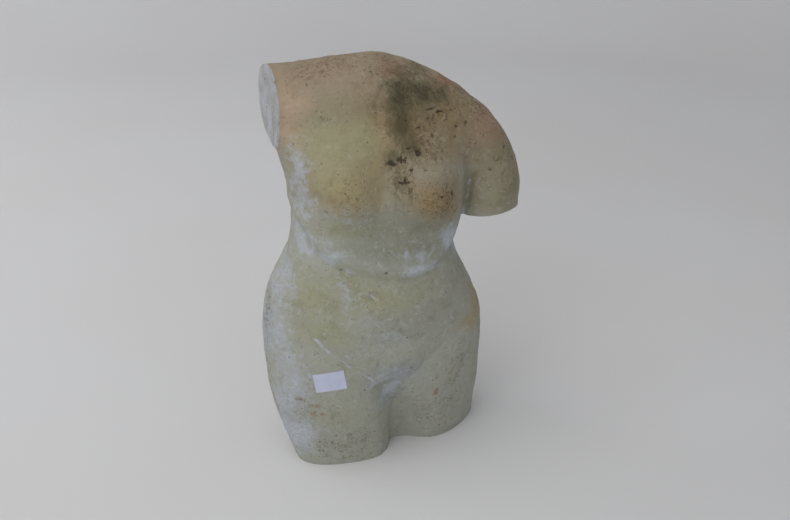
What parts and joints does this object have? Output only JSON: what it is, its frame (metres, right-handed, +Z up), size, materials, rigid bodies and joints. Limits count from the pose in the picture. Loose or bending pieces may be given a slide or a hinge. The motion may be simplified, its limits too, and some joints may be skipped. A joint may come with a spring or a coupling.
{
  "type": "garden torso sculpture",
  "caption": "Hollow cast-stone figure of a headless, armless female torso, cut at mid-thigh, that stands on its thighs.",
  "frame": {"origin": "under the middle of the whole figure's box, on the surface that it stands on", "axes": "+Z up; the figure faces -Y; its right side is -X"},
  "size_m": [0.3222, 0.1931, 0.5142],
  "materials": {
    "cast_stone": "weathered cast stone, matt, with lichen, lime bloom and small pits",
    "cap_stone": "smooth grey casting skin, matt",
    "mortar": "fine sand and lime mortar, matt, gritty",
    "paper": "uncoated white label stock"
  },
  "bodies": {
    "root": {"front_shell": "cast_stone", "back_shell": "cast_stone", "right_flank_seam": "mortar", "left_flank_seam": "mortar", "right_shoulder_seam": "mortar", "left_shoulder_seam": "mortar", "right_coil": "mortar", "shoulder_coil": "mortar", "left_coil": "mortar", "neck_cap": "cast_stone", "neck_bed": "mortar", "right_arm_cap": "cap_stone", "right_arm_bed": "mortar", "left_arm_cap": "cast_stone", "left_arm_bed": "mortar", "label": "paper"}
  },
  "joints": []
}
